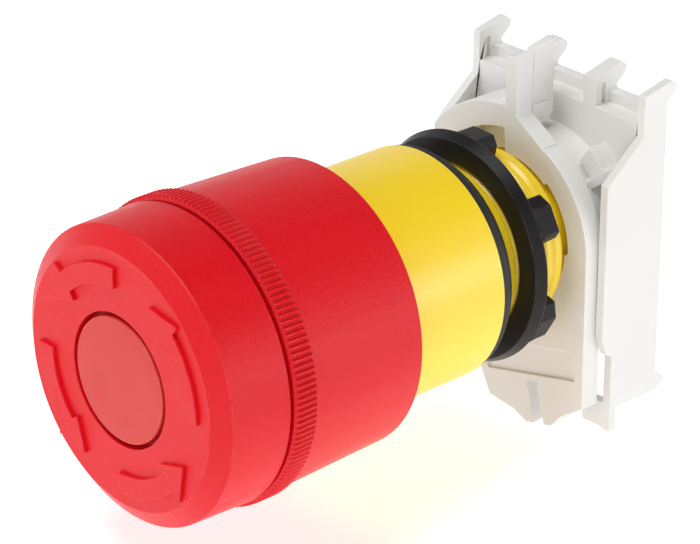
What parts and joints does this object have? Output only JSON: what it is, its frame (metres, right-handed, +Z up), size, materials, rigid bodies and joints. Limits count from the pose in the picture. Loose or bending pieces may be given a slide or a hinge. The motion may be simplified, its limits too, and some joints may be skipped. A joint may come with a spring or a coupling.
{
  "type": "emergency stop button",
  "caption": "Panel-mounted mushroom-head emergency stop button that latches in, releases by turning, with ring nut and a clip-on fixing adapter behind.",
  "frame": {"origin": "centre of the body's rear shoulder, where the panel seal sits, on the button's axis", "axes": "+Y runs back through the panel, the red head faces -Y, +Z is up and +X is to the right seen from the front"},
  "size_m": [0.038, 0.0761, 0.05],
  "materials": {
    "red_plastic": "satin moulded, fine grain",
    "disc_plastic": "satin moulded",
    "yellow_plastic": "satin moulded",
    "black_plastic": "satin moulded",
    "black_rubber": "matt rubber",
    "grey_plastic": "satin moulded, light grey",
    "white_plastic": "satin moulded",
    "dark_plastic": "satin moulded",
    "spring_steel": "bright drawn wire",
    "zinc_steel": "zinc plated"
  },
  "bodies": {
    "mounting": {"housing": "yellow_plastic", "latch_ring": "dark_plastic", "guide_bush": "white_plastic", "lip_seal": "black_rubber", "panel_seal": "black_rubber", "adapter_frame": "grey_plastic", "return_spring": "spring_steel"},
    "plunger": {"stem": "white_plastic", "stem_clip": "spring_steel", "thrust_washer": "zinc_steel", "twist_spring": "spring_steel", "pawl_spring": "spring_steel", "actuator_bridge": "dark_plastic", "bridge_clip": "spring_steel"},
    "head": {"head_cap": "red_plastic", "centre_disc": "disc_plastic", "cap_screw": "zinc_steel", "grip_sleeve": "red_plastic", "cam_sleeve": "white_plastic"},
    "left_pawl": {"pawl_left": "dark_plastic"},
    "right_pawl": {"pawl_right": "dark_plastic"},
    "nut": {"ring_nut": "black_plastic"},
    "lock": {"lock_plate": "grey_plastic"}
  },
  "joints": [
    {"name": "head_press", "type": "slide", "parent": "mounting", "child": "plunger", "axis": [0, 1, 0], "range_m": [0, 0.005], "stiffness_N_per_m": 2500, "deforming": ["return_spring"]},
    {"name": "head_turn", "type": "hinge", "parent": "plunger", "child": "head", "pos_m": [0, -0.03, 0], "axis": [0, -1, 0], "range_deg": [0, 45], "stiffness_Nm_per_rad": 0.05, "deforming": ["twist_spring"]},
    {"name": "left_pawl_slide", "type": "slide", "parent": "plunger", "child": "left_pawl", "axis": [-1, 0, 0], "range_m": [0, 0.001], "deforming": ["pawl_spring"]},
    {"name": "right_pawl_slide", "type": "slide", "parent": "plunger", "child": "right_pawl", "axis": [1, 0, 0], "range_m": [0, 0.001]},
    {"name": "nut_spin", "type": "hinge", "parent": "mounting", "child": "nut", "pos_m": [0, 0.008, 0], "axis": [0, 1, 0], "continuous": true},
    {"name": "lock_turn", "type": "hinge", "parent": "mounting", "child": "lock", "pos_m": [0, 0.0164, 0], "axis": [0, 1, 0], "range_deg": [0, 28]}
  ],
  "couplings": [
    {"joint": "left_pawl_slide", "follows": "head_press", "ratio": 0.2},
    {"joint": "right_pawl_slide", "follows": "head_press", "ratio": 0.2}
  ]
}
